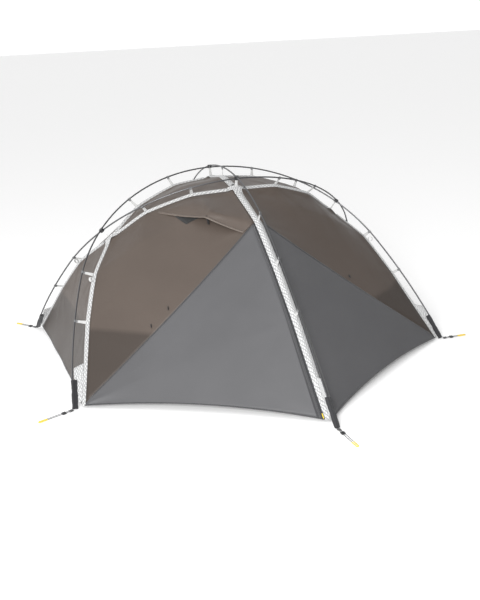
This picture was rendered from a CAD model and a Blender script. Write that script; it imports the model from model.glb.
"""Free-standing mountain tent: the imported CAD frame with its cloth, trims and surfaces.

Metres, in the CAD frame. Cloth pieces replace the CAD's plain soft solids; poles, clips,
rings, sliders and fittings are the CAD's own, with finishes.
"""
import math

import bpy
import numpy as np
from mathutils import Matrix, geometry


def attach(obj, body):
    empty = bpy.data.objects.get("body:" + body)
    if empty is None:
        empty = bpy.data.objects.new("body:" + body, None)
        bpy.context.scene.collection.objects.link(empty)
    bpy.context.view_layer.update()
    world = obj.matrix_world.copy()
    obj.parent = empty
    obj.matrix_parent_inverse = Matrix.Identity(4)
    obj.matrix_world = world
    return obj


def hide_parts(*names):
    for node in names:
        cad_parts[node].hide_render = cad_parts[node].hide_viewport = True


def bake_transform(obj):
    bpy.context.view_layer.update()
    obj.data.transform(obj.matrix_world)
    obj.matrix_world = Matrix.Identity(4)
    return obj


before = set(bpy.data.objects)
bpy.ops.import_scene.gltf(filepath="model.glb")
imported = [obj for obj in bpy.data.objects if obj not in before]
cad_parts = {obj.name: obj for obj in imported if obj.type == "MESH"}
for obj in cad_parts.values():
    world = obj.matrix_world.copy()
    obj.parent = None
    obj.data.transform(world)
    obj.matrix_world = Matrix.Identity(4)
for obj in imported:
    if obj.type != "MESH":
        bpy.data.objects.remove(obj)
scene = bpy.context.scene
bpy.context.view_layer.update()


def frame_of(x, y, z, place):
    """Matrix of an object with those axes at a place."""
    return Matrix([[x[i], y[i], z[i], place[i]] for i in range(3)] + [[0, 0, 0, 1]])


# ---- camera -----------------------------------------------------------------
YAW, PITCH, ROLL = (math.radians(a) for a in (-20.466, 18.455, -2.498))
DISTANCE = 5.1083
TARGET = np.array([-0.1304, -0.567, 0.4258])
level = np.array([math.sin(YAW), -math.cos(YAW), 0])
back = math.cos(PITCH) * level + [0, 0, math.sin(PITCH)]
right = np.cross([0, 0, 1], back)
right /= np.linalg.norm(right)
up = np.cross(back, right)
cam_x = math.cos(ROLL) * right + math.sin(ROLL) * up
cam_y = -math.sin(ROLL) * right + math.cos(ROLL) * up
eye = TARGET + DISTANCE * back
camera = bpy.data.objects.new("camera", bpy.data.cameras.new("camera"))
scene.collection.objects.link(camera)
camera.matrix_world = frame_of(cam_x, cam_y, back, eye)
camera.data.lens = 51.13
camera.data.sensor_width = 36
camera.data.sensor_fit = "AUTO"
scene.camera = camera

# ---- shape of the poles and of the fly --------------------------------------
LONG = (1.070, math.radians(69), 3.540, math.radians(13.2))
CROSS = (1.145, math.radians(40), 5.300, math.radians(8.6))
TILT = math.radians(48)
FOOT_Y = 0.739
GAP, FLY = 0.0093, 0.060
PATCH = 0.058
BAND, CROSS_BAND = 0.021, 0.027
ZIP_ROW, ZIP_SLIT = 0.004, 0.0016


def bend(s, shape):
    r1, a1, r2, a2 = shape
    l1, l2 = r1 * a1, r2 * a2
    h = s / r1 if s < l1 else min(a1 + (s - l1) / r2, a1 + a2)
    c = min(h, a1)
    rest = max(0.0, s - l1 - l2)
    return (
        r1 * math.sin(c) + r2 * (math.sin(h) - math.sin(c)) + rest * math.cos(h),
        r1 * (1 - math.cos(c)) + r2 * (math.cos(c) - math.cos(h)) + rest * math.sin(h),
        h,
    )


def unit(v):
    v = np.asarray(v, float)
    return v / np.linalg.norm(v)


def square_to(v, axis):
    """Unit direction of v once its part along a unit axis is gone."""
    return unit(v - (v @ axis) * axis)


def mix(a, b, t):
    return np.asarray(a, float) * (1 - t) + np.asarray(b, float) * t


LONG_RUN = LONG[0] * LONG[1] + LONG[2] * LONG[3]
HALF_X, LONG_TOP, _ = bend(LONG_RUN, LONG)
drop = LONG_TOP - FOOT_Y / math.cos(TILT)
drop_1 = bend(LONG[0] * LONG[1], LONG)[1]
turn = (
    math.acos(1 - drop / LONG[0])
    if drop < drop_1
    else math.acos(math.cos(LONG[1]) - (drop - drop_1) / LONG[2])
)
SIDE_RUN = (
    LONG[0] * turn
    if drop < drop_1
    else LONG[0] * LONG[1] + LONG[2] * (turn - LONG[1])
)
SIDE_OUT = unit([math.sin(turn) * math.sin(TILT), 0, math.cos(turn)])
SHIFT = GAP / 2 / SIDE_OUT[0]
RIDGE_Y = LONG_TOP * math.cos(TILT) - FOOT_Y
RIDGE_Z = LONG_TOP * math.sin(TILT)
CROSS_TOP = RIDGE_Z + CROSS[0] - math.sqrt((CROSS[0] - GAP) ** 2 - RIDGE_Y**2)
RIDGE_TURN = math.atan2(RIDGE_Y, RIDGE_Z - CROSS_TOP + CROSS[0])
RIDGE_OUT = np.array([0, math.sin(RIDGE_TURN), math.cos(RIDGE_TURN)])
_c = CROSS[0] * CROSS[1] + CROSS[2] * CROSS[3]
CROSS_LEAN = CROSS[1] + CROSS[3]
CROSS_RUN = _c + (CROSS_TOP - bend(_c, CROSS)[1]) / math.sin(CROSS_LEAN)
HALF_Y = bend(CROSS_RUN, CROSS)[0]


def long_point(s, gap):
    q = bend(s, LONG)
    h = LONG_TOP - q[1] - gap * math.cos(q[2])
    return np.array(
        [
            q[0] - gap * math.sin(q[2]),
            abs(h * math.cos(TILT) - FOOT_Y),
            h * math.sin(TILT),
        ]
    )


def cross_point(s, gap):
    q = bend(s, CROSS)
    return np.array([0, q[0] - gap * math.sin(q[2]), CROSS_TOP - q[1] - gap * math.cos(q[2])])


def long_axis(s):
    q = bend(abs(s), LONG)
    h = LONG_TOP - q[1]
    return np.array(
        [math.copysign(q[0], s) - SHIFT, h * math.cos(TILT) - FOOT_Y, h * math.sin(TILT)]
    )


def cross_axis(s):
    q = bend(abs(s), CROSS)
    return np.array([0, math.copysign(q[0], s), CROSS_TOP - q[1]])


def quarter(p, sx, sy):
    return np.asarray(p, float) * [sx, sy, 1]


LONG_CORNER = np.array([HALF_X - 0.044, FOOT_Y - 0.012, 0.016])
CROSS_CORNER = np.array([0, HALF_Y - 0.088, 0.016])
SIDE_NODE = long_point(SIDE_RUN, 0) - (FLY + GAP / 2) * SIDE_OUT
SIDE_NODE[1] = 0
RIDGE_NODE = cross_point(CROSS[0] * RIDGE_TURN, FLY + GAP / 2)
TOP_NODE = cross_point(0, FLY - 0.008)
LEG = [LONG_CORNER, long_point(1.560, FLY), long_point(1.235, FLY), SIDE_NODE]
ARC = [SIDE_NODE, long_point(0.618, FLY), long_point(0.300, FLY), RIDGE_NODE]
FRONT = [RIDGE_NODE] + [cross_point(s, FLY) for s in (0.650, 0.984, 1.325)] + [CROSS_CORNER]
CROWN = [RIDGE_NODE, TOP_NODE, quarter(RIDGE_NODE, 1, -1)]
END_MID = np.array([(2 * LONG_CORNER[0] + SIDE_NODE[0]) / 3, 0, SIDE_NODE[2] / 3])
UPPER_MID = (LONG_CORNER + SIDE_NODE + RIDGE_NODE + FRONT[1]) / 4
DOOR_MID = (LONG_CORNER + CROSS_CORNER + FRONT[1]) / 3
HEM_MID = (LONG_CORNER + CROSS_CORNER) / 2
ROOF_MID = np.array([SIDE_NODE[0] / 3, 0, (SIDE_NODE[2] + 2 * RIDGE_NODE[2]) / 3])


def smooth_path(nodes, t, tension=0.42):
    """Point and tangent on a taut curve through the nodes; t runs from 0 to 1."""
    k = len(nodes) - 1
    x = min(max(t, 0.0), 1.0) * k
    i = min(int(x), k - 1)
    f = x - i
    p0, p1 = nodes[i], nodes[i + 1]
    chord = p1 - p0

    def tangent(j):
        if j == 0 or j == k:
            return chord
        a = unit(nodes[j + 1] - nodes[j - 1])
        return mix(unit(chord), a, tension) * np.linalg.norm(chord)

    m0, m1 = tangent(i), tangent(i + 1)
    f2, f3 = f * f, f * f * f
    p = (2 * f3 - 3 * f2 + 1) * p0 + (3 * f2 - 2 * f3) * p1
    p += (f3 - 2 * f2 + f) * m0 + (f3 - f2) * m1
    d = 6 * (f2 - f) * (p0 - p1) + (3 * f2 - 4 * f + 1) * m0 + (3 * f2 - 2 * f) * m1
    return p, unit(d)


def pieces(items, t):
    k = len(items) - 1
    x = min(max(t, 0.0), 1.0) * k
    i = min(int(x), k - 1)
    return mix(items[i], items[i + 1], x - i)


class Ridge:
    """A fly ridge with the directions in which its two sides fall away."""

    def __init__(self, nodes, aims_a, aims_b, cut0=0.0, cut1=0.0, level_end=None):
        nodes = [np.array(p, float) for p in nodes]
        if cut0:
            nodes[0] = nodes[0] + cut0 * unit(nodes[1] - nodes[0])
        if cut1:
            nodes[-1] = nodes[-1] + cut1 * unit(nodes[-2] - nodes[-1])
        self.nodes, self.a, self.b = nodes, aims_a, aims_b
        self.level_end = level_end

    def at(self, t):
        p, d = smooth_path(self.nodes, t)
        if self.level_end is not None:
            near = abs(t - self.level_end) * (len(self.nodes) - 1)
            if near < 1:
                d = unit(mix([0, 0, math.copysign(1, d[2])], d, min(1.0, near)))
        out = []
        for aims in (self.a, self.b):
            out.append(square_to(pieces(aims, t) - p, d))
        return p, out[0], out[1]

    def side(self, which, w, n, t0=0.0, t1=1.0):
        rows = []
        for i in range(n + 1):
            p, a, b = self.at(t0 + (t1 - t0) * i / n)
            rows.append(p + w * (a if which == "a" else b))
        return np.array(rows)


leg = Ridge(LEG, [END_MID] * 4, [HEM_MID] + [UPPER_MID] * 3, 0, PATCH, 0.0)
arc = Ridge(ARC, [ROOF_MID] * 4, [UPPER_MID] * 4, PATCH, PATCH)
front_aims = [UPPER_MID, (UPPER_MID + DOOR_MID) / 2, DOOR_MID, DOOR_MID, HEM_MID]
front = Ridge(FRONT, front_aims, [quarter(c, -1, 1) for c in front_aims], PATCH, 0, 1.0)
crown = Ridge(CROWN, [ROOF_MID] * 3, [quarter(ROOF_MID, -1, 1)] * 3, PATCH, PATCH)


def resample(path, n):
    path = np.asarray(path, float)
    d = np.concatenate([[0], np.cumsum(np.linalg.norm(np.diff(path, axis=0), axis=1))])
    t = np.linspace(0, d[-1], n + 1)
    return np.stack([np.interp(t, d, path[:, k]) for k in range(3)], axis=1)


def coons(c0, c1, d0, d1, n, m):
    """Grid of n + 1 by m + 1 points between four edges that share their corners."""
    c0, c1 = resample(c0, n), resample(c1, n)
    d0, d1 = resample(d0, m), resample(d1, m)
    u = np.linspace(0, 1, n + 1)[None, :, None]
    v = np.linspace(0, 1, m + 1)[:, None, None]
    edge = c0[None] * (1 - v) + c1[None] * v + d0[:, None] * (1 - u) + d1[:, None] * u
    corner = (c0[0] * (1 - u) + c0[-1] * u) * (1 - v) + (c1[0] * (1 - u) + c1[-1] * u) * v
    return edge - corner


def normals(grid, centre=(0, 0, 0.15)):
    gu = np.gradient(grid, axis=1)
    gv = np.gradient(grid, axis=0)
    n = np.cross(gu, gv)
    n /= np.maximum(np.linalg.norm(n, axis=2, keepdims=True), 1e-12)
    m = grid.shape[0] // 2, grid.shape[1] // 2
    return n if n[m] @ (grid[m] - np.asarray(centre)) > 0 else -n


# ---- materials --------------------------------------------------------------
def build(name):
    mat = bpy.data.materials.new(name)
    mat.use_nodes = True
    tree = mat.node_tree
    tree.nodes.clear()
    out = tree.nodes.new("ShaderNodeOutputMaterial")
    bsdf = tree.nodes.new("ShaderNodeBsdfPrincipled")
    tree.links.new(bsdf.outputs[0], out.inputs[0])
    return mat, tree, bsdf


def node(tree, kind, links=(), **values):
    made = tree.nodes.new("ShaderNode" + kind)
    for key, value in values.items():
        if key.startswith("i"):
            made.inputs[int(key[1:])].default_value = value
        else:
            setattr(made, key, value)
    for slot, source in links:
        tree.links.new(source, made.inputs[slot])
    return made


def calc(tree, operation, a, b=None, c=None):
    made = tree.nodes.new("ShaderNodeMath")
    made.operation = operation
    for slot, value in enumerate((a, b, c)):
        if value is None:
            continue
        if isinstance(value, (int, float)):
            made.inputs[slot].default_value = value
        else:
            tree.links.new(value, made.inputs[slot])
    return made.outputs[0]


def line(tree, value, period, width):
    """1 on thin lines repeated along value, in metres."""
    wrapped = calc(tree, "WRAP", value, period / 2, -period / 2)
    return calc(tree, "LESS_THAN", calc(tree, "ABSOLUTE", wrapped), width / 2)


def uv(tree):
    coords = node(tree, "UVMap", uv_map="cut")
    split = node(tree, "SeparateXYZ", [(0, coords.outputs[0])])
    return split.outputs[0], split.outputs[1]


def tint(color, k):
    return tuple(min(1.0, c * k) for c in color[:3]) + (1.0,)


def drifting(tree, source, color, low, high):
    """The colour between two tints of it, by a noise's value."""
    ramp = node(tree, "ValToRGB", [(0, source)])
    for end, k in zip(ramp.color_ramp.elements, (low, high)):
        end.color = tint(color, k)
    return ramp


def emboss(tree, bsdf, height, strength, distance):
    bump = node(tree, "Bump", [("Height", height)])
    bump.inputs["Strength"].default_value = strength
    bump.inputs["Distance"].default_value = distance
    tree.links.new(bump.outputs[0], bsdf.inputs["Normal"])


YARN_PITCH = 0.0011


def cloth(
    name,
    color,
    rip=0.006,
    rip_width=0.0006,
    rip_gain=1.12,
    rough=0.55,
    sheen=0.25,
    diamond=None,
    stitch=None,
    through=0.0,
    wave=0.25,
    shade_below=None,
):
    """Woven cloth: yarn bump, ripstop grid, colour drift, creases and rows of stitches."""
    mat, tree, bsdf = build(name)

    def add(a, b):
        return calc(tree, "ADD", a, b)

    def mul(a, b):
        return calc(tree, "MULTIPLY", a, b)

    def blend(mask, under, tone):
        return node(tree, "MixRGB", [(0, mask), (1, under)], i2=tone).outputs[0]

    u, v = uv(tree)
    pos = node(tree, "TexCoord").outputs["Object"]
    drift = node(tree, "TexNoise", [(0, pos)], i2=2.2, i3=3.0, i4=0.55)
    ramp = drifting(tree, drift.outputs[0], color, 0.93, 1.06)
    ramp.color_ramp.elements[0].position = 0.3
    ramp.color_ramp.elements[1].position = 0.7
    shade = ramp.outputs[0]
    if diamond:
        period, width, mark = diamond
        wander = node(tree, "TexNoise", [(0, pos)], i2=38.0, i3=1.0)
        wander = calc(tree, "SUBTRACT", wander.outputs[0], 0.5)
        shift = mul(wander, period * 0.9)
        lean_u = add(mul(u, 0.62), shift)
        rising = line(tree, add(lean_u, v), period, width)
        falling = line(tree, calc(tree, "SUBTRACT", lean_u, v), period, width)
        lines = calc(tree, "MAXIMUM", rising, mul(falling, 0.7))
        shade = blend(lines, shade, tint(mark, 1))
    grid = calc(tree, "MAXIMUM", line(tree, u, rip, rip_width), line(tree, v, rip, rip_width))
    shade = blend(mul(grid, 0.55), shade, tint(color, rip_gain))
    if shade_below:
        height, depth, gain = shade_below
        z = node(tree, "SeparateXYZ", [(0, pos)]).outputs[2]
        soft = node(tree, "TexNoise", [(0, pos)], i2=1.5, i3=1.0)
        edge = add(z, mul(soft.outputs[0], 0.05))
        low, high = height - depth, height + depth
        mask = node(tree, "MapRange", [(0, edge)], i1=low, i2=high, i3=1.0, i4=0.0)
        shade = blend(mask.outputs[0], shade, tint(color, gain))
    if stitch:
        offset, thread = stitch
        from_row = calc(tree, "SUBTRACT", calc(tree, "ABSOLUTE", v), offset)
        row = calc(tree, "LESS_THAN", calc(tree, "ABSOLUTE", from_row), 0.0006)
        sewn = mul(row, line(tree, u, 0.0045, 0.003))
        shade = blend(sewn, shade, tint(thread, 1))
    tree.links.new(shade, bsdf.inputs["Base Color"])
    # Yarns, the raised grid and soft creases.
    warp = calc(tree, "SINE", mul(u, 2 * math.pi / YARN_PITCH))
    weft = calc(tree, "SINE", mul(v, 2 * math.pi / YARN_PITCH))
    yarn = mul(add(warp, weft), 0.00006)
    creases = node(tree, "TexNoise", [(0, pos)], i2=7.0, i3=4.0, i4=0.6, i8=0.6)
    relief = add(yarn, mul(grid, 0.0001))
    height_map = add(mul(creases.outputs[0], 0.010 * wave), relief)
    if stitch:
        height_map = add(height_map, mul(sewn, 0.0006))
    emboss(tree, bsdf, height_map, 0.7, 1.0)
    bsdf.inputs["Roughness"].default_value = rough
    bsdf.inputs["Sheen Weight"].default_value = sheen
    bsdf.inputs["Specular IOR Level"].default_value = 0.3
    if through:
        out = tree.nodes["Material Output"]
        glow = node(tree, "BsdfTranslucent", [(0, shade)])
        both = node(tree, "MixShader", [(1, bsdf.outputs[0]), (2, glow.outputs[0])], i0=through)
        tree.links.new(both.outputs[0], out.inputs[0])
    return mat


def webbing(name, color, pitch=0.0022, rough=0.7):
    """Narrow woven tape: chevron ribs in object space."""
    mat, tree, bsdf = build(name)
    pos = node(tree, "TexCoord").outputs["Object"]
    ribs = node(tree, "TexWave", [(0, pos)], i1=1.0 / pitch / 6.3, i2=2.0, i3=2.0)
    ribs.bands_direction = "DIAGONAL"
    drift = node(tree, "TexNoise", [(0, pos)], i2=60.0, i3=3.0)
    ramp = drifting(tree, drift.outputs[0], color, 0.8, 1.15)
    tree.links.new(ramp.outputs[0], bsdf.inputs["Base Color"])
    emboss(tree, bsdf, ribs.outputs[1], 0.6, 0.0006)
    bsdf.inputs["Roughness"].default_value = rough
    bsdf.inputs["Sheen Weight"].default_value = 0.3
    return mat


def hard(name, color, metal=0.0, rough=0.4, grain=0.15, scale=120.0, coat=0.0):
    """Moulded plastic or metal with fine scuffs."""
    mat, tree, bsdf = build(name)
    pos = node(tree, "TexCoord").outputs["Object"]
    scuff = node(tree, "TexNoise", [(0, pos)], i2=scale, i3=4.0, i4=0.6)
    ramp = drifting(tree, scuff.outputs[0], color, 0.88, 1.12)
    tree.links.new(ramp.outputs[0], bsdf.inputs["Base Color"])
    smooth = max(0.05, rough - grain)
    spread = node(tree, "MapRange", [(0, scuff.outputs[0])], i3=smooth, i4=rough + grain)
    tree.links.new(spread.outputs[0], bsdf.inputs["Roughness"])
    emboss(tree, bsdf, scuff.outputs[0], 0.15, 0.0002)
    bsdf.inputs["Metallic"].default_value = metal
    bsdf.inputs["Coat Weight"].default_value = coat
    return mat


PALE = (0.62, 0.625, 0.62)
TAUPE = (0.084, 0.066, 0.055)
GREY = (0.088, 0.088, 0.092)
YELLOW = (0.72, 0.52, 0.015)
PALE_LOOK = dict(diamond=(0.0165, 0.0062, (0.27, 0.27, 0.275)), rough=0.6, rip_gain=0.9)
PALE_THREAD = (0.4, 0.4, 0.4)
FLY_LOOK = dict(rough=0.45, sheen=0.04)
M = {
    "band": cloth(
        "pale_ripstop", PALE, stitch=(0.0165, PALE_THREAD), through=0.06, **PALE_LOOK
    ),
    "wide_band": cloth(
        "pale_ripstop_wide", PALE, stitch=(0.0225, PALE_THREAD), through=0.06, **PALE_LOOK
    ),
    "patch": cloth("pale_ripstop_patch", PALE, **PALE_LOOK),
    "taupe": cloth(
        "taupe_ripstop", TAUPE, shade_below=(0.372, 0.012, 0.60), through=0.05, **FLY_LOOK
    ),
    "grey": cloth("grey_ripstop", GREY, through=0.05, **FLY_LOOK),
    "trim": cloth(
        "dark_tape",
        (0.034, 0.034, 0.037),
        rip=0.003,
        rip_width=0.0012,
        stitch=(0.0035, (0.16, 0.16, 0.16)),
        rough=0.6,
        wave=0.05,
    ),
    "hood": cloth("hood_ripstop", TAUPE, through=0.03, **FLY_LOOK),
    "turned": cloth(
        "turned_edge",
        tint(TAUPE, 1.12),
        stitch=(0.0035, (0.3, 0.27, 0.24)),
        rough=0.5,
        sheen=0.04,
        wave=0.1,
    ),
    "mesh": cloth(
        "black_mesh",
        (0.012, 0.012, 0.012),
        rip=0.0022,
        rip_width=0.0009,
        rip_gain=3.5,
        rough=0.8,
        wave=0.05,
    ),
    "pocket": cloth(
        "pocket_cloth",
        (0.016, 0.016, 0.018),
        rip=0.003,
        rip_width=0.001,
        rip_gain=1.5,
        rough=0.6,
        wave=0.15,
    ),
    "inner": cloth(
        "inner_cloth",
        (0.52, 0.50, 0.42),
        rip=0.008,
        rip_width=0.0005,
        rip_gain=0.85,
        rough=0.75,
        through=0.25,
    ),
    "floor": cloth("floor_cloth", (0.085, 0.085, 0.09), rip=0.007, rough=0.5, wave=0.15),
    "white_tape": webbing("white_webbing", (0.50, 0.50, 0.495)),
    "black_tape": webbing("black_webbing", (0.028, 0.028, 0.03)),
    "yellow": webbing("yellow_braid", YELLOW, 0.0016),
    "cord": webbing("grey_braid", (0.035, 0.037, 0.04), 0.0014),
    "elastic": webbing("shock_cord", (0.6, 0.6, 0.6), 0.0012),
    "pole": hard("anodised_tube", (0.12, 0.12, 0.125), 0.85, 0.35, 0.08),
    "bare": hard("bare_alloy", (0.62, 0.62, 0.63), 1.0, 0.3),
    "clip": hard("clip_plastic", (0.16, 0.162, 0.165), 0, 0.45),
    "black": hard("black_plastic", (0.018, 0.018, 0.02), 0, 0.42),
    "slider": hard("slider_paint", (0.02, 0.02, 0.022), 0.6, 0.3, coat=0.3),
    "steel": hard("ring_steel", (0.55, 0.55, 0.56), 1.0, 0.28),
}


def finish(piece, key):
    piece.data.materials.clear()
    piece.data.materials.append(M[key])


for name, key in {
    "pole_sections": "pole",
    "pole_inserts": "bare",
    "pole_tips": "bare",
    "shock_cords": "elastic",
    "pole_clips": "clip",
    "crossing_clips": "black",
    "clip_straps": "white_tape",
    "guy_loops": "white_tape",
    "foot_webbing": "black_tape",
    "foot_rings": "steel",
    "cord_sleeves": "yellow",
    "inner_hangers": "black_tape",
    "toggles": "black",
}.items():
    finish(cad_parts[name], key)
for name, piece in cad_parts.items():
    for start, key in (
        ("slider", "slider"),
        ("pull", "yellow"),
        ("tensioner", "black"),
        ("vent_strut", "black"),
    ):
        if name.startswith(start):
            finish(piece, key)

# ---- cords ------------------------------------------------------------------
FAR_X = HALF_X + SHIFT
NEAR_X = HALF_X - SHIFT
CORNERS = ("front_left", "front_right", "back_right", "back_left", "front", "back")
STAKES = {
    "front_left": ((-FAR_X, -FOOT_Y), (-0.94, -0.34), 0.0039, 0.172),
    "front_right": ((NEAR_X, -FOOT_Y), (1.0, -0.1), 0.0058, 0.118),
    "back_right": ((FAR_X, FOOT_Y), (0.72, 0.69), 0.0004, 0.150),
    "back_left": ((-NEAR_X, FOOT_Y), (-0.6, 0.8), -0.0006, 0.150),
    "front": ((0, -HALF_Y), (0, -1), -0.0034, 0.175),
    "back": ((0, HALF_Y), (0, 1), -0.0034, 0.175),
}
CORD, SPREAD = 0.003, 0.012
RING_MID, RING_IN, WIRE = 0.0235, 0.0075, 0.003
RING_REACH = math.sqrt((RING_IN + WIRE) ** 2 - ((SPREAD - CORD) / 2) ** 2)
CORD_START = RING_MID + 0.0003 + RING_REACH
for name in CORNERS:
    foot, way, begin, reach = STAKES[name]
    d = unit([way[0], way[1], 0])
    side = np.array([-d[1], d[0], 0])
    origin = np.array([foot[0], foot[1], 0.006]) + begin * d
    far = CORD_START + reach
    flat = [(CORD_START, -SPREAD / 2)]
    flat += [
        (far + SPREAD / 2 * math.cos(a), SPREAD / 2 * math.sin(a))
        for a in np.linspace(-math.pi / 2, math.pi / 2, 25)
    ]
    flat += [(CORD_START, SPREAD / 2)]
    route = [origin + x * d + y * side for x, y in flat]
    curve = bpy.data.curves.new("stake_cord_" + name, "CURVE")
    curve.dimensions = "3D"
    curve.bevel_depth = CORD / 2
    curve.bevel_resolution = 3
    spline = curve.splines.new("POLY")
    spline.points.add(len(route) - 1)
    for point, p in zip(spline.points, route):
        point.co = (*p, 1)
    piece = bpy.data.objects.new("stake_cord_" + name, curve)
    scene.collection.objects.link(piece)
    piece.data.materials.append(M["cord"])
    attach(piece, "tent")
    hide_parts("cord_" + name)


# ---- cloth ------------------------------------------------------------------
def mesh_object(name, points, faces, cut, material, smooth=True):
    mesh = bpy.data.meshes.new(name)
    mesh.from_pydata([tuple(p) for p in points], [], faces)
    layer = mesh.uv_layers.new(name="cut")
    loops = np.empty(len(mesh.loops), dtype=np.int32)
    mesh.loops.foreach_get("vertex_index", loops)
    layer.data.foreach_set("uv", np.asarray(cut, dtype=np.float32)[loops].ravel())
    mesh.polygons.foreach_set("use_smooth", [smooth] * len(mesh.polygons))
    mesh.materials.append(material)
    mesh.update()
    piece = bpy.data.objects.new(name, mesh)
    scene.collection.objects.link(piece)
    return piece


def area_of(piece):
    return sum(p.area for p in piece.data.polygons)


def quads(m, n):
    """Faces of a grid of m rows of n points."""
    corners = [(j * n + i, (j + 1) * n + i) for j in range(m - 1) for i in range(n - 1)]
    return [(a, a + 1, b + 1, b) for a, b in corners]


def thicken(piece, thickness):
    mod = piece.modifiers.new("cloth", "SOLIDIFY")
    mod.thickness = thickness
    mod.offset = -1.0
    mod.use_quality_normals = True


def arc_lengths(grid, axis):
    d = np.linalg.norm(np.diff(grid, axis=axis), axis=2)
    zero = np.zeros((grid.shape[0], 1)) if axis == 1 else np.zeros((1, grid.shape[1]))
    return np.concatenate([zero, np.cumsum(d, axis=axis)], axis=axis)


MIN_SIDE = 0.0101


def sheet(name, grid, look, body, stands_for, thick=0.0008, cut=None, fold=None):
    """A cloth piece from a grid of points, its outer face first."""
    n = normals(grid)
    m0, n0 = grid.shape[0], grid.shape[1]
    u, v = arc_lengths(grid, 1), arc_lengths(grid, 0)
    width, length = float(u[:, -1].max()), float(v[-1].max())
    flat_uv = np.stack([u, v], axis=2) if cut is None else cut
    j, i = m0 // 2, n0 // 2
    next_u, next_v = grid[j, min(i + 1, n0 - 1)], grid[min(j + 1, m0 - 1), i]
    turned = np.cross(next_u - grid[j, i], next_v - grid[j, i]) @ n[j, i] < 0
    faces = [q[::-1] if turned else q for q in quads(m0, n0)]
    piece = mesh_object(name, grid.reshape(-1, 3), faces, flat_uv.reshape(-1, 2), M[look])
    area = area_of(piece)
    thicken(piece, thick)
    if fold:
        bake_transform(piece)
    else:
        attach(piece, body)
    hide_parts(*stands_for)
    length = max(length, MIN_SIDE)
    width = max(width, MIN_SIDE, area / length * 1.0005)
    return piece


def folds(grid, corners, seed, reach=0.16, depth=0.0022, keep=()):
    """Tension folds that fan out from the corners, with a slow swell; still at its edges."""
    n = normals(grid)
    m, k = grid.shape[0], grid.shape[1]
    v, u = np.meshgrid(np.linspace(0, 1, m), np.linspace(0, 1, k), indexing="ij")
    hold = np.ones((m, k))
    for name, t in (("low", v), ("high", 1 - v), ("left", u), ("right", 1 - u)):
        if name not in keep:
            hold *= np.clip(t / 0.06, 0, 1) ** 0.7
    mid = grid[m // 2, k // 2]
    e1 = unit(grid[m // 2, -1] - grid[m // 2, 0])
    e2 = unit(np.cross(n[m // 2, k // 2], e1))
    rng = np.random.default_rng(seed)
    lift = np.zeros((m, k))
    for c in corners:
        d = grid - np.asarray(c)
        r = np.linalg.norm(d, axis=2)
        angle = np.arctan2(d @ e2, d @ e1)
        fade = np.exp(-r / reach)
        near = np.clip(r / 0.05, 0, 1)
        for rate in (9.0, 17.0):
            phase = rng.uniform(0, 6.28)
            lift += depth * 9 / rate * fade * np.sin(rate * angle + phase) * near
    along, over = (grid - mid) @ e1, (grid - mid) @ e2
    for _ in range(4):
        w = rng.normal(size=2) * 9.0
        lift += 0.0009 * np.sin(w[0] * along + w[1] * over + rng.uniform(0, 6.28))
    return grid + (lift * hold)[..., None] * n


FINE = 44
UNDER = 0.003  # panels reach this far under the bands
CLEAR = 0.0004  # the zip and the seam stay this far from the bands
W_LONG = BAND - UNDER
W_CROSS = CROSS_BAND - UNDER
W_TEETH = CROSS_BAND + CLEAR + ZIP_ROW
W_DOOR = W_TEETH + ZIP_SLIT
leg_end = leg.side("a", W_LONG, 60)
leg_front = leg.side("b", W_LONG, 60)
arc_roof = arc.side("a", W_LONG, 60)
arc_front = arc.side("b", W_LONG, 60)
front_edge = front.side("a", W_CROSS, 80)
front_door = front.side("a", W_DOOR + ZIP_ROW * 0.5, 80)
crown_edge = crown.side("a", W_CROSS, 40)


def crotch(middle, t1, w1, t2, w2):
    """Where the edges of two bands that leave a crossing meet."""
    t1, t2 = unit(t1), unit(t2)
    spread = math.sqrt(max(1e-6, 1 - float(t1 @ t2) ** 2))
    return middle + w2 / spread * t1 + w1 / spread * t2


TO_LEG, TO_ARC = LEG[-2] - LEG[-1], ARC[1] - ARC[0]
TO_SIDE, TO_FRONT, TO_CROWN = ARC[-2] - ARC[-1], FRONT[1] - FRONT[0], CROWN[1] - CROWN[0]
MIRROR_Y = np.array([1, -1, 1])
side_corner_front = crotch(SIDE_NODE, TO_LEG, W_LONG, TO_ARC, W_LONG)
side_corner_roof = crotch(SIDE_NODE, TO_ARC, W_LONG, TO_ARC * MIRROR_Y, W_LONG)
side_corner_end = crotch(SIDE_NODE, TO_LEG, W_LONG, TO_LEG * MIRROR_Y, W_LONG)
ridge_corner_front = crotch(RIDGE_NODE, TO_SIDE, W_LONG, TO_FRONT, W_CROSS)
ridge_corner_roof = crotch(RIDGE_NODE, TO_SIDE, W_LONG, TO_CROWN, W_CROSS)

LOWER, HIGHER = leg.at(0), leg.at(1 / 3)
BESIDE_BAND = BAND + CLEAR
SEAM_LOW = mix(LOWER[0] + BESIDE_BAND * LOWER[2], HIGHER[0] + BESIDE_BAND * HIGHER[2], 0.035)
SEAM_HIGH = front.at(0.25)[0] + (CROSS_BAND + CLEAR) * front.at(0.25)[1]
SEAM_SAG = 0.016
SEAM = unit(SEAM_HIGH - SEAM_LOW)
sag_way = square_to(CROSS_CORNER - SEAM_LOW, SEAM)
t = np.linspace(0, 1, 61)[:, None]
seam = SEAM_LOW * (1 - t) + SEAM_HIGH * t + 4 * t * (1 - t) * SEAM_SAG * sag_way


def split(path, point):
    """Index of the path's point nearest to a place."""
    return int(np.argmin(np.linalg.norm(path - point, axis=1)))


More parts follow.
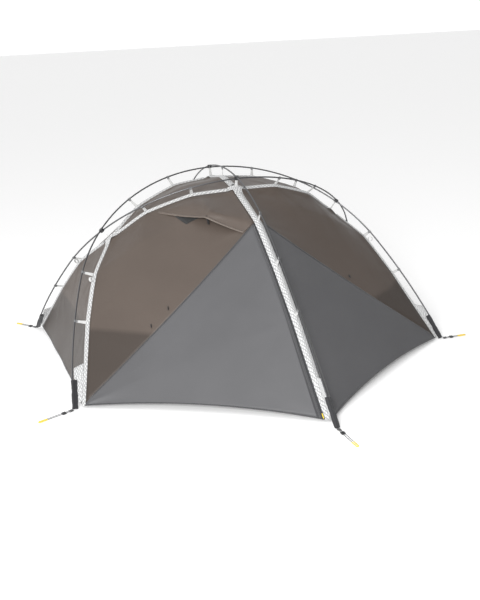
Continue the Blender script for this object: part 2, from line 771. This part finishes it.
i_leg = split(leg_front, seam[0])
i_front = split(front_edge, seam[-1])
i_door = split(front_door, seam[-1])
upper_grid = coons(
    seam,
    np.vstack([side_corner_front[None], arc_front, ridge_corner_front[None]]),
    np.vstack([seam[:1], leg_front[i_leg + 1 :], side_corner_front[None]]),
    np.vstack([seam[-1:], front_edge[:i_front][::-1], ridge_corner_front[None]]),
    FINE,
    FINE,
)
door_hem_t = np.linspace(0, 1, 61)[:, None]
hem_in = unit([-(CROSS_CORNER[1] - LONG_CORNER[1]), -LONG_CORNER[0], 0])
door_hem = (
    leg_front[0] * (1 - door_hem_t)
    + front_door[-1] * door_hem_t
    + 4 * door_hem_t * (1 - door_hem_t) * (0.036 * hem_in + [0, 0, 0.028])
)
seam_door = seam.copy()
seam_door[-6:] = seam[-6:] + (front_door[i_door] - seam[-1]) * np.linspace(0, 1, 6)[:, None]
door_grid = coons(
    seam_door,
    door_hem,
    np.vstack([seam_door[:1], leg_front[:1]]),
    np.vstack([seam_door[-1:], front_door[i_door + 1 :]]),
    FINE,
    FINE,
)
end_hem = (
    quarter(leg_end[0], 1, -1) * (1 - door_hem_t)
    + leg_end[0] * door_hem_t
    + 4 * door_hem_t * (1 - door_hem_t) * np.array([-0.012, 0, 0])
)
end_grid = coons(
    end_hem,
    np.vstack([side_corner_end, side_corner_end]) + np.array([[0, -1e-4, 0], [0, 1e-4, 0]]),
    np.vstack([leg_end * MIRROR_Y, side_corner_end - [0, 1e-4, 0]]),
    np.vstack([leg_end, side_corner_end + [0, 1e-4, 0]]),
    FINE,
    FINE,
)
roof_grid = coons(
    np.vstack([side_corner_roof, side_corner_roof]) + np.array([[0, 1e-4, 0], [0, -1e-4, 0]]),
    np.vstack([ridge_corner_roof, crown_edge, ridge_corner_roof * MIRROR_Y]),
    np.vstack([side_corner_roof + [0, 1e-4, 0], arc_roof, ridge_corner_roof]),
    np.vstack([side_corner_roof - [0, 1e-4, 0], arc_roof * MIRROR_Y, ridge_corner_roof * MIRROR_Y]),
    FINE,
    FINE,
)
CORNER_FOLDS = LEG + ARC[1:] + [FRONT[1], SEAM_HIGH]
QUARTERS = {
    "front_left": (-1, -1),
    "front_right": (1, -1),
    "back_left": (-1, 1),
    "back_right": (1, 1),
}


PANELS = {}


def spot(grid, u, v):
    m, k = grid.shape[0] - 1, grid.shape[1] - 1
    x, y = min(max(u, 0), 1) * k, min(max(v, 0), 1) * m
    i, j = min(int(x), k - 1), min(int(y), m - 1)
    a, b = x - i, y - j
    low = grid[j, i] * (1 - a) + grid[j, i + 1] * a
    high = grid[j + 1, i] * (1 - a) + grid[j + 1, i + 1] * a
    return low * (1 - b) + high * b


def spot_normal(grid, u, v):
    e = 0.01
    along = spot(grid, u + e, v) - spot(grid, u - e, v)
    across = spot(grid, u, v + e) - spot(grid, u, v - e)
    w = unit(np.cross(along, across))
    return w if w @ spot(grid, u, v) > 0 else -w


def strip(path, inward, w0, w1, lift, rows=2):
    """A tape beside an edge: path and the direction into the panel at each point."""
    ws = np.linspace(w0, w1, rows + 1)
    grid = np.array([[p + w * d for p, d in zip(path, inward)] for w in ws])
    return grid + lift * normals(grid)


def ways_to(edge, row):
    """Unit directions from the points of an edge to the points of another row."""
    d = row - edge
    return d / np.linalg.norm(d, axis=1, keepdims=True)


HEM = (-0.0008, 0.0075, 0.0012)


def tape_uv(grid):
    """Length along the tape, and the distance from its middle across it."""
    u, v = arc_lengths(grid, 1), arc_lengths(grid, 0)
    return np.stack([u, v - v[-1:] / 2], axis=2)


for name, (sx, sy) in QUARTERS.items():
    f = np.array([sx, sy, 1])
    seed = 11 + 3 * sx + 7 * sy
    upper = folds(upper_grid * f, [c * f for c in CORNER_FOLDS], seed)
    PANELS[name] = upper
    sheet("upper_cloth_" + name, upper, "taupe", "tent", ["upper_panels"])
    door_corners = [LONG_CORNER * f, FRONT[2] * f, FRONT[3] * f, CROSS_CORNER * f, SEAM_HIGH * f]
    door = folds(door_grid * f, door_corners, seed + 1, 0.14, 0.0036, ("high",))
    body = "door_" + name
    hinge = (SEAM_LOW + SEAM_HIGH) / 2 * f
    into_door = square_to(DOOR_MID * f - hinge, SEAM * f)
    fold = (hinge - 0.002 * into_door, hinge + 0.05 * into_door)
    sheet("door_cloth_" + name, door, "grey", body, ["door_" + name], fold=fold)
    trim = ["door_trim_" + name]
    zip_edge, zip_next = door[:, -1], door[:, -3]
    ways = ways_to(zip_edge, zip_next)
    spread = np.linspace(0.5, 1.5, len(ways) - 1)[:, None] ** 1.3
    flap = strip(zip_edge[1:], ways[1:] * spread, -0.002, 0.020, 0.0016)

    def add_tape(piece, grid, thick=0.0007):
        door_node, cut = ["door_" + name], tape_uv(grid)
        sheet(piece + name, grid, "trim", body, trim, thick, cut, fold)

    add_tape("storm_flap_", flap)
    hem = strip(door[-1], ways_to(door[-1], door[-3]), *HEM)
    add_tape("door_hem_", hem)
    lap = strip(door[0][1:-1], ways_to(door[0], door[2])[1:-1], -0.003, 0.004, 0.0014)
    add_tape("door_seam_", lap, 0.0006)
    # The two rows of teeth, as raised coils on their tapes.
    for row, w0, w1, where, node_name in (
        ("fixed", CROSS_BAND - 0.002, W_TEETH, "tent", "zip_teeth"),
        ("door", W_DOOR, W_DOOR + ZIP_ROW, body, "door_trim_" + name),
    ):
        ts = np.linspace(0.262, 1.0, 4 * FINE)
        points = [front.at(x) for x in ts]
        widths = (w0, (w0 + w1) / 2, w1)
        grid = np.array([[(p + w * a) * f for p, a, b in points] for w in widths])
        grid[1] += 0.0006 * normals(grid)[1]
        sheet(
            "zip_%s_%s" % (row, name),
            grid,
            "trim",
            where,
            [node_name],
            0.0009,
            tape_uv(grid),
            fold if where == body else None,
        )


CREST = 0.25


def band_grid(ridge, w, f, n, lift=0.0009):
    """A folded band over a ridge; the middle CREST of its width is rounded down."""
    across = np.linspace(-1, 1, 13)
    rows = []
    for i in range(n + 1):
        p, a, b = ridge.at(i / n)
        top = unit(-(a + b))
        row = []
        for c in across:
            q = p + w * abs(c) * (a if c < 0 else b)
            if abs(c) < CREST:
                q = q - CREST * w * (1 - abs(c) / CREST) ** 2 * 0.35 * top
            row.append((q + lift * top) * f)
        rows.append(row)
    grid = np.array(rows).transpose(1, 0, 2)
    u = arc_lengths(grid, 1)
    v = np.repeat((across * w)[:, None], n + 1, axis=1)
    return grid, np.stack([u, v], axis=2)


for name, (sx, sy) in QUARTERS.items():
    f = np.array([sx, sy, 1])
    for label, ridge in (("leg", leg), ("arc", arc)):
        grid, cut = band_grid(ridge, BAND, f, 2 * FINE)
        piece_name = "%s_band_%s" % (label, name)
        sheet(piece_name, grid, "band", "tent", ["long_bands"], 0.001, cut)
for name, ridge, f in (
    ("front", front, (1, -1, 1)),
    ("back", front, (1, 1, 1)),
    ("top", crown, (1, 1, 1)),
):
    grid, cut = band_grid(ridge, CROSS_BAND, np.array(f), 3 * FINE)
    piece_name = "cross_band_" + name
    sheet(piece_name, grid, "wide_band", "tent", ["cross_bands"], 0.001, cut)


def both_sides(corners, f):
    """Each corner of an end or roof panel, front and back."""
    return [q * f * [1, s, 1] for q in corners for s in (1, -1)]


for name, sx in (("left", -1), ("right", 1)):
    f = np.array([sx, 1, 1])
    corners = both_sides((LONG_CORNER, LEG[1], LEG[2], SIDE_NODE), f)
    end = folds(end_grid * f, corners, 5 + sx, keep=("low",))
    sheet("end_cloth_" + name, end, "taupe", "tent", ["end_panels"])
    hem = strip(end[0], ways_to(end[0], end[2]), *HEM)
    piece_name = "end_hem_" + name
    sheet(piece_name, hem, "trim", "tent", ["end_hems"], 0.0007, tape_uv(hem))
    roof = folds(roof_grid * f, both_sides((ARC[1], ARC[2], RIDGE_NODE), f), 15 + sx)
    sheet("roof_cloth_" + name, roof, "taupe", "tent", ["roof_panels"])


# Patches over the crossings: the two bands' own outline where they cross, a little domed.
def patch(name, middle, out, rim, f):
    dense = []
    for p0, p1 in zip(rim, rim[1:] + rim[:1]):
        dense += [mix(p0, p1, s) for s in np.linspace(0, 1, 8, endpoint=False)]
    dense = np.array(dense)
    for _ in range(2):
        dense = (np.roll(dense, 1, axis=0) + 2 * dense + np.roll(dense, -1, axis=0)) / 4
    dense = np.vstack([dense, dense[:1]])
    steps = np.linspace(0.02, 1, 9)
    rise = [0.0024 * (1.3 - s * s * 0.6) for s in steps]
    grid = np.array(
        [[(middle + (q - middle) * s + out * h) * f for q in dense] for s, h in zip(steps, rise)]
    )
    local = grid / f - middle
    e1 = unit(np.cross([0, 1, 0], out)) if abs(out[1]) > 0.01 else np.array([0, 1.0, 0])
    e2 = np.cross(out, e1)
    cut = np.stack([local @ e2, local @ e1], axis=2)
    sheet(name, grid, "patch", "tent", ["crossing_patches"], 0.001, cut)


def arm(ridge, t, w):
    """The two corners of a band's end at a crossing, a little past its cut."""
    p, a, b = ridge.at(t)
    end, inner = (0, 1) if t == 0 else (-1, -2)
    d = 0.006 * unit(ridge.nodes[inner] - ridge.nodes[end])
    return p + w * a + d, p + w * b + d


OVER = 0.001
w = BAND + OVER
leg_arm, arc_arm = arm(leg, 1, w), arm(arc, 0, w)
half = [
    crotch(SIDE_NODE, TO_LEG, w, TO_LEG * MIRROR_Y, w),
    leg_arm[0],
    leg_arm[1],
    crotch(SIDE_NODE, TO_LEG, w, TO_ARC, w),
    arc_arm[1],
    arc_arm[0],
    crotch(SIDE_NODE, TO_ARC, w, TO_ARC * MIRROR_Y, w),
]
side_rim = half + [q * MIRROR_Y for q in half[-2:0:-1]]
wide = CROSS_BAND + OVER
front_arm, crown_arm, ridge_arm = arm(front, 0, wide), arm(crown, 0, wide), arm(arc, 1, w)
half = [
    front_arm[0],
    crotch(RIDGE_NODE, TO_SIDE, w, TO_FRONT, wide),
    ridge_arm[1],
    ridge_arm[0],
    crotch(RIDGE_NODE, TO_SIDE, w, TO_CROWN, wide),
    crown_arm[0],
]
ridge_rim = half + [q * [-1, 1, 1] for q in half[::-1]]
for name, sx in (("left", -1), ("right", 1)):
    patch("side_patch_" + name, SIDE_NODE, SIDE_OUT, side_rim, np.array([sx, 1, 1]))
for name, sy in (("front", -1), ("back", 1)):
    patch("ridge_patch_" + name, RIDGE_NODE, RIDGE_OUT, ridge_rim, np.array([1, sy, 1]))

# Vents: a hood that the strut holds open, with a turned edge, over black mesh.
VENT_0, VENT_1, VENT_FAR, VENT_TOP = 0.43, 0.93, 0.995, 0.985
VENT_LIFT, LYING = 0.072, 0.0012
STRUT_U, STRUT_V = 0.76, 0.52
lean = math.radians(16)
for name, f, quarter_name in (
    ("front", np.array([-1, -1, 1]), "front_left"),
    ("back", np.array([1, 1, 1]), "back_right"),
):
    panel = PANELS[quarter_name] * f
    k = FINE

    def over(u, v, high, panel=panel):
        return spot(panel, u, v) + high * spot_normal(panel, u, v)

    foot = spot(upper_grid, STRUT_U, STRUT_V)
    vent_n = spot_normal(upper_grid, STRUT_U, STRUT_V)
    vent_up = unit(spot(upper_grid, STRUT_U, 0.62) - foot)
    peak = foot + VENT_LIFT * unit(math.cos(lean) * vent_n + math.sin(lean) * vent_up)
    left_end = over(VENT_0, 0.95, LYING)
    right_end = over(VENT_1, 0.04, LYING)
    lip = []
    for x in np.linspace(0, 1, k + 1):
        s = min(1, 2 * x) if x < 0.5 else 2 * x - 1
        p = mix(left_end, peak, s) if x < 0.5 else mix(peak, right_end, s)
        lip.append(p - 0.009 * math.sin(math.pi * s) * vent_n)
    top = [over(mix(VENT_0, VENT_FAR, x), VENT_TOP, LYING) for x in np.linspace(0, 1, k + 1)]
    left_side = [over(VENT_0, v, LYING) for v in np.linspace(0.95, VENT_TOP, 6)]
    right_side = [
        over(mix(VENT_1, VENT_FAR, v), mix(0.04, 0.02, v), LYING) for v in np.linspace(0, 1, 8)
    ]
    right_side += [
        over(VENT_FAR, mix(0.02, VENT_TOP, v), LYING) for v in np.linspace(0.03, 1, 30)
    ]
    hood = coons(lip, top, left_side, right_side, k, k // 2)
    swell_v = np.sin(np.linspace(0, math.pi, k // 2 + 1))[:, None]
    swell_u = np.sin(np.linspace(0, math.pi, k + 1))[None]
    hood = hood + (0.012 * swell_v * swell_u)[..., None] * vent_n
    corners = [peak * f, left_end * f, right_end * f]
    hood = folds(hood * f, corners, 31 if f[0] > 0 else 37, 0.09, 0.0026, ("low",))
    sheet("vent_hood_" + name, hood, "hood", "tent", ["vent_hoods"])
    turned = strip(hood[0], ways_to(hood[0], hood[3]), -0.0015, 0.013, 0.0012)
    cut = tape_uv(turned)
    hoods = ["vent_hoods"]
    sheet("vent_lip_" + name, turned, "turned", "tent", hoods, 0.0009, cut)
    net = []
    for y in np.linspace(0, 1, 13):
        u0, u1, v = mix(0.64, 0.56, y), mix(0.86, 0.9, y), mix(0.68, 0.84, y)
        net.append([over(mix(u0, u1, x), v, 0.0022) for x in np.linspace(0, 1, 13)])
    net = np.array(net) * f
    sheet("vent_net_" + name, net, "mesh", "tent", ["vent_mesh"], 0.0004)


# ---- feet -------------------------------------------------------------------
POCKET, POCKET_W, POCKET_T, POCKET_END = 0.170, 0.034, 0.015, 0.010
FEET = {}
for name, axis, run, turn_round in (
    ("front_left", lambda s: long_axis(-s), LONG_RUN, False),
    ("front_right", long_axis, LONG_RUN, False),
    ("back_right", lambda s: long_axis(-s), LONG_RUN, True),
    ("back_left", long_axis, LONG_RUN, True),
    ("front", lambda s: cross_axis(-s), CROSS_RUN, False),
    ("back", lambda s: cross_axis(-s), CROSS_RUN, True),
):
    spin = np.array([-1, -1, 1]) if turn_round else np.array([1, 1, 1])
    low = axis(run - POCKET_END) * spin
    high = axis(run - POCKET_END - POCKET) * spin
    z = unit(low - high)
    x = square_to(np.array([1.0, 0, 0]), z)
    FEET[name] = (low, z, x, np.cross(z, x))
POCKET_SHIFT = (POCKET_W - POCKET_T) / 2
for name, (low, z, x, y) in FEET.items():
    on_cross_pole = name in ("front", "back")
    lean_in = 0 if on_cross_pole else -math.copysign(1, low[0] * x[0])

    def ring(t, p, x=x, y=y, lean_in=lean_in, seed=len(name)):
        """Round over the pole, flat beyond it, with soft puckers; drawn in at the mouth."""
        pucker = 1 + 0.05 * math.sin(11 * t + seed) + 0.03 * math.sin(27 * t + 2 * seed)
        wide = POCKET_W / 2 * pucker
        out = []
        for a in np.linspace(0, 2 * math.pi, 36, endpoint=False):
            c, s = math.cos(a), math.sin(a)
            across = lean_in * POCKET_SHIFT + wide * c
            near = math.exp(-((across / 0.0085) ** 2))
            thick = 0.0022 + (POCKET_T / 2 - 0.0026) * near
            edge = 1 - abs(c) ** 5
            bell = 1 + 0.12 * math.exp(-(((1 - t) / 0.05) ** 2))
            out.append(p + across * x + bell * thick * edge * math.copysign(abs(s) ** 0.5, s) * y)
        return out

    spine = [low - z * POCKET * s for s in np.linspace(0.0, 1.0, 26)]
    rings = [ring(i / (len(spine) - 1), p) for i, p in enumerate(spine)]
    grid = np.array([loop + loop[:1] for loop in rings])
    faces = [q[:1] + q[:0:-1] for q in quads(*grid.shape[:2])]
    cut = np.stack([arc_lengths(grid, 0), arc_lengths(grid, 1)], 2).reshape(-1, 2)
    piece = mesh_object("pole_sleeve_" + name, grid.reshape(-1, 3), faces, cut, M["pocket"])
    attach(piece, "tent")
    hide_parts("pole_pockets")
    thicken(piece, 0.0012)


# ---- gussets ----------------------------------------------------------------
BESIDE_LONG = POCKET_W / 2 + POCKET_SHIFT + 0.0005
BESIDE_CROSS = POCKET_T / 2 + 0.0013


def gusset(pole_side, fly_side, name, f):
    """A web from the pole and its pocket to 2 mm from the fly's edge."""
    q = resample(pole_side, 18)
    r = resample([b + 0.002 * unit(a - b) for a, b in zip(pole_side, fly_side)], 18)
    grid = np.array([mix(q, r, v) for v in np.linspace(0, 1, 9)]) * f
    sheet(name, grid, "patch", "tent", ["gussets"], 0.0009)


for e, label in ((-1, "left"), (1, "right")):
    q = [
        long_axis(e * (LONG_RUN - back_run)) + away * unit([-e, 0.15, 0])
        for back_run, away in (
            (POCKET + 0.080, 0.0075),
            (POCKET + 0.014, 0.010),
            (POCKET + 0.004, BESIDE_LONG),
            (0.040, BESIDE_LONG),
        )
    ]
    r = [quarter(mix(LEG[0], LEG[1], s), e, -1) for s in (0.5, 0.36, 0.33, 0.05)]
    gusset(q, r, "gusset_front_" + label, np.array([1, 1, 1]))
    gusset(q, r, "gusset_back_" + ("right" if e < 0 else "left"), np.array([-1, -1, 1]))
inward = np.array([0, math.sin(CROSS_LEAN), -math.cos(CROSS_LEAN)])
q = [
    cross_axis(back_run - CROSS_RUN) + away * inward
    for back_run, away in (
        (0.285, 0.0075),
        (POCKET + 0.014, 0.008),
        (POCKET + 0.004, BESIDE_CROSS),
        (0.060, BESIDE_CROSS),
    )
]
r = [quarter(mix(CROSS_CORNER, FRONT[3], s), 1, -1) for s in (0.40, 0.22, 0.2, 0.04)]
gusset(q, r, "gusset_front", np.array([1, 1, 1]))
gusset(q, r, "gusset_back", np.array([-1, -1, 1]))

# ---- inner tent -------------------------------------------------------------
FLOOR_X, FLOOR_Y, TUB = 1.060, 0.610, 0.050
HANG = 0.085
CORNER = np.array([FLOOR_X, FLOOR_Y, TUB + 0.0003])
IN_SIDE = np.array([SIDE_NODE[0] - HANG * SIDE_OUT[0], 0, SIDE_NODE[2] - HANG * SIDE_OUT[2]])
IN_RIDGE = RIDGE_NODE - HANG * RIDGE_OUT
DOOR_W, DOOR_H, SILL = 0.660, 0.640, 0.060
SAG = 0.012


def triangulate(outline, holes, step):
    """Filled flat outline with inner points, for a panel that can sag."""
    points, edges = [], []
    for loop in [outline] + holes:
        start = len(points)
        points += loop
        edges += [(start + i, start + (i + 1) % len(loop)) for i in range(len(loop))]
    lo, hi = np.min(outline, axis=0), np.max(outline, axis=0)
    for x in np.arange(lo[0] + step, hi[0], step):
        for y in np.arange(lo[1] + step, hi[1], step):
            points.append((float(x), float(y)))
    verts, _, faces, _, _, _ = geometry.delaunay_2d_cdt(points, edges, [], 0, 1e-5)

    def inside(p, loop):
        hit = False
        for (x0, y0), (x1, y1) in zip(loop, loop[1:] + loop[:1]):
            if (y0 > p[1]) != (y1 > p[1]) and p[0] < (x1 - x0) * (p[1] - y0) / (y1 - y0) + x0:
                hit = not hit
        return hit

    kept = []
    for face in faces:
        c = np.mean([verts[i] for i in face], axis=0)
        if inside(c, outline) and not any(inside(c, hole) for hole in holes):
            kept.append(tuple(face))
    return [tuple(v) for v in verts], kept


def d_outline(grow, steps=28):
    """Straight-sided door with a round top, in the wall's own plane."""
    r = DOOR_W / 2 + grow
    x = FLOOR_X
    y = SILL + DOOR_H - DOOR_W / 2
    arch = [(x + r * math.cos(a), y + r * math.sin(a)) for a in np.linspace(0, math.pi, steps)]
    return [(x - r, SILL - grow), (x + r, SILL - grow)] + arch


def inner_panel(name, a, b, c, node_name="inner_canopy", body="tent", outline=None, holes=()):
    """A triangle of inner cloth, or an outline in its plane, that sinks up to SAG inwards."""
    a, b, c = (np.asarray(p, float) for p in (a, b, c))
    x = unit(b - a)
    z = unit(np.cross(b - a, c - a))
    y = np.cross(z, x)
    tri = np.array([(0, 0), (np.linalg.norm(b - a), 0), ((c - a) @ x, (c - a) @ y)])
    if outline is None:
        inset = tri + (tri.mean(axis=0) - tri) * 0.004
        outline = [
            tuple(mix(inset[i], inset[(i + 1) % 3], s).tolist())
            for i in range(3)
            for s in np.linspace(0, 1, 18, endpoint=False)
        ]
    verts, faces = triangulate(list(outline), list(holes), 0.06)
    out = []
    mid = np.array([0, 0, 0.2])
    way = z if z @ (a - mid) > 0 else -z
    for p in verts:
        # Distance to the nearest side of the triangle: the cloth sinks away from them.
        sides = [(tri[i], tri[(i + 1) % 3] - tri[i]) for i in range(3)]
        d = min(abs(np.cross(side, np.array(p) - q)) / np.linalg.norm(side) for q, side in sides)
        drop_in = SAG * (1 - math.exp(-d / 0.12))
        out.append(a + p[0] * x + p[1] * y - way * (0.0007 + drop_in))
    flip_faces = np.cross(x, y) @ way < 0
    faces = [f[::-1] if flip_faces else f for f in faces]
    piece = mesh_object(name, out, faces, [(p[0], p[1]) for p in verts], M["inner"])
    thicken(piece, 0.0007)
    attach(piece, body)
    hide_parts(node_name)


for label, sy in (("front", -1), ("back", 1)):
    a, b, c = CORNER * [-1, sy, 1], CORNER * [1, sy, 1], IN_RIDGE * [1, sy, 1]
    leaf = "inner_door_" + label
    inner_panel("inner_wall_" + label, a, b, c, holes=[d_outline(0.0)])
    inner_panel("inner_leaf_" + label, a, b, c, leaf, leaf, d_outline(-0.0015))
for label, sx in (("left", -1), ("right", 1)):
    s = IN_SIDE * [sx, 1, 1]
    inner_panel("inner_end_" + label, CORNER * [sx, -1, 1], CORNER * [sx, 1, 1], s)
    inner_panel("inner_roof_" + label, IN_RIDGE * [1, -1, 1], IN_RIDGE, s)
    for side_name, sy in (("front", -1), ("back", 1)):
        gore = "inner_gore_%s_%s" % (side_name, label)
        inner_panel(gore, CORNER * [sx, sy, 1], s, IN_RIDGE * [1, sy, 1])

# Bathtub floor: flat base, rounded fold and upright sides.
TUB_RINGS = (
    (0.9, 0.0006),
    (0.4, 0.0006),
    (0.05, 0.0006),
    (0.012, 0.0010),
    (0.004, 0.004),
    (0.0012, 0.010),
    (0.0008, 0.03),
    (0.0008, TUB - 0.0004),
)
rings = []
for inset, z in TUB_RINGS:
    outer = inset < 0.1
    hx, hy = FLOOR_X - inset * (1 if outer else 1.1), FLOOR_Y - min(inset, 0.59)
    r = 0.03 if outer else 0.004
    loop = []
    for cx, cy, a0 in ((hx, hy, 0), (-hx, hy, 90), (-hx, -hy, 180), (hx, -hy, 270)):
        ox, oy = cx - math.copysign(r, cx), cy - math.copysign(r, cy)
        for a in range(a0, a0 + 91, 15):
            loop.append((ox + r * math.cos(math.radians(a)), oy + r * math.sin(math.radians(a)), z))
    rings.append(loop + loop[:1])
grid = np.array(rings)
faces = quads(*grid.shape[:2]) + [tuple(range(grid.shape[1] - 2, -1, -1))]
cut = grid[:, :, :2].reshape(-1, 2)
tub = mesh_object("floor_cloth", grid.reshape(-1, 3), faces, cut, M["floor"])
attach(tub, "tent")
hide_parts("inner_floor")

# ---- studio -----------------------------------------------------------------
paint, _, paint_bsdf = build("studio_white")
paint_bsdf.inputs["Base Color"].default_value = (0.95, 0.95, 0.95, 1)
paint_bsdf.inputs["Roughness"].default_value = 0.9
paint_bsdf.inputs["Specular IOR Level"].default_value = 0.1
paint_bsdf.inputs["Emission Color"].default_value = (1, 1, 1, 1)
paint_bsdf.inputs["Emission Strength"].default_value = 0.09
floor = mesh_object(
    "studio_floor",
    [(-60, -60, -0.0005), (60, -60, -0.0005), (60, 60, -0.0005), (-60, 60, -0.0005)],
    [(0, 1, 2, 3)],
    [(0, 0), (1, 0), (1, 1), (0, 1)],
    paint,
    False,
)
world = bpy.data.worlds.new("studio")
scene.world = world
world.use_nodes = True
background = world.node_tree.nodes["Background"]
background.inputs[0].default_value = (1, 1, 1, 1)
# A dim side to the right of the camera, outside its view, gives the near faces their shape.
facing = node(world.node_tree, "TexCoord").outputs["Generated"]
toward = node(world.node_tree, "VectorMath", [(0, facing)], operation="DOT_PRODUCT")
toward.inputs[1].default_value = (0.86, -0.50, 0.08)
toward_side = toward.outputs["Value"]
dim = node(world.node_tree, "MapRange", [(0, toward_side)], i1=0.12, i2=0.62, i3=1.12, i4=0.16)
world.node_tree.links.new(dim.outputs[0], background.inputs[1])

# One large lamp beside the camera.
KEY_PLACE = np.array([-3.3, -6.4, 3.0])
light = bpy.data.lights.new("key", "AREA")
light.energy = 540
light.size = 2.4
key = bpy.data.objects.new("key", light)
scene.collection.objects.link(key)
z = unit(KEY_PLACE - [0, 0, 0.3])
x = unit(np.cross([0, 0, 1], z))
key.matrix_world = frame_of(x, np.cross(z, x), z, KEY_PLACE)
scene.view_settings.view_transform = "Standard"
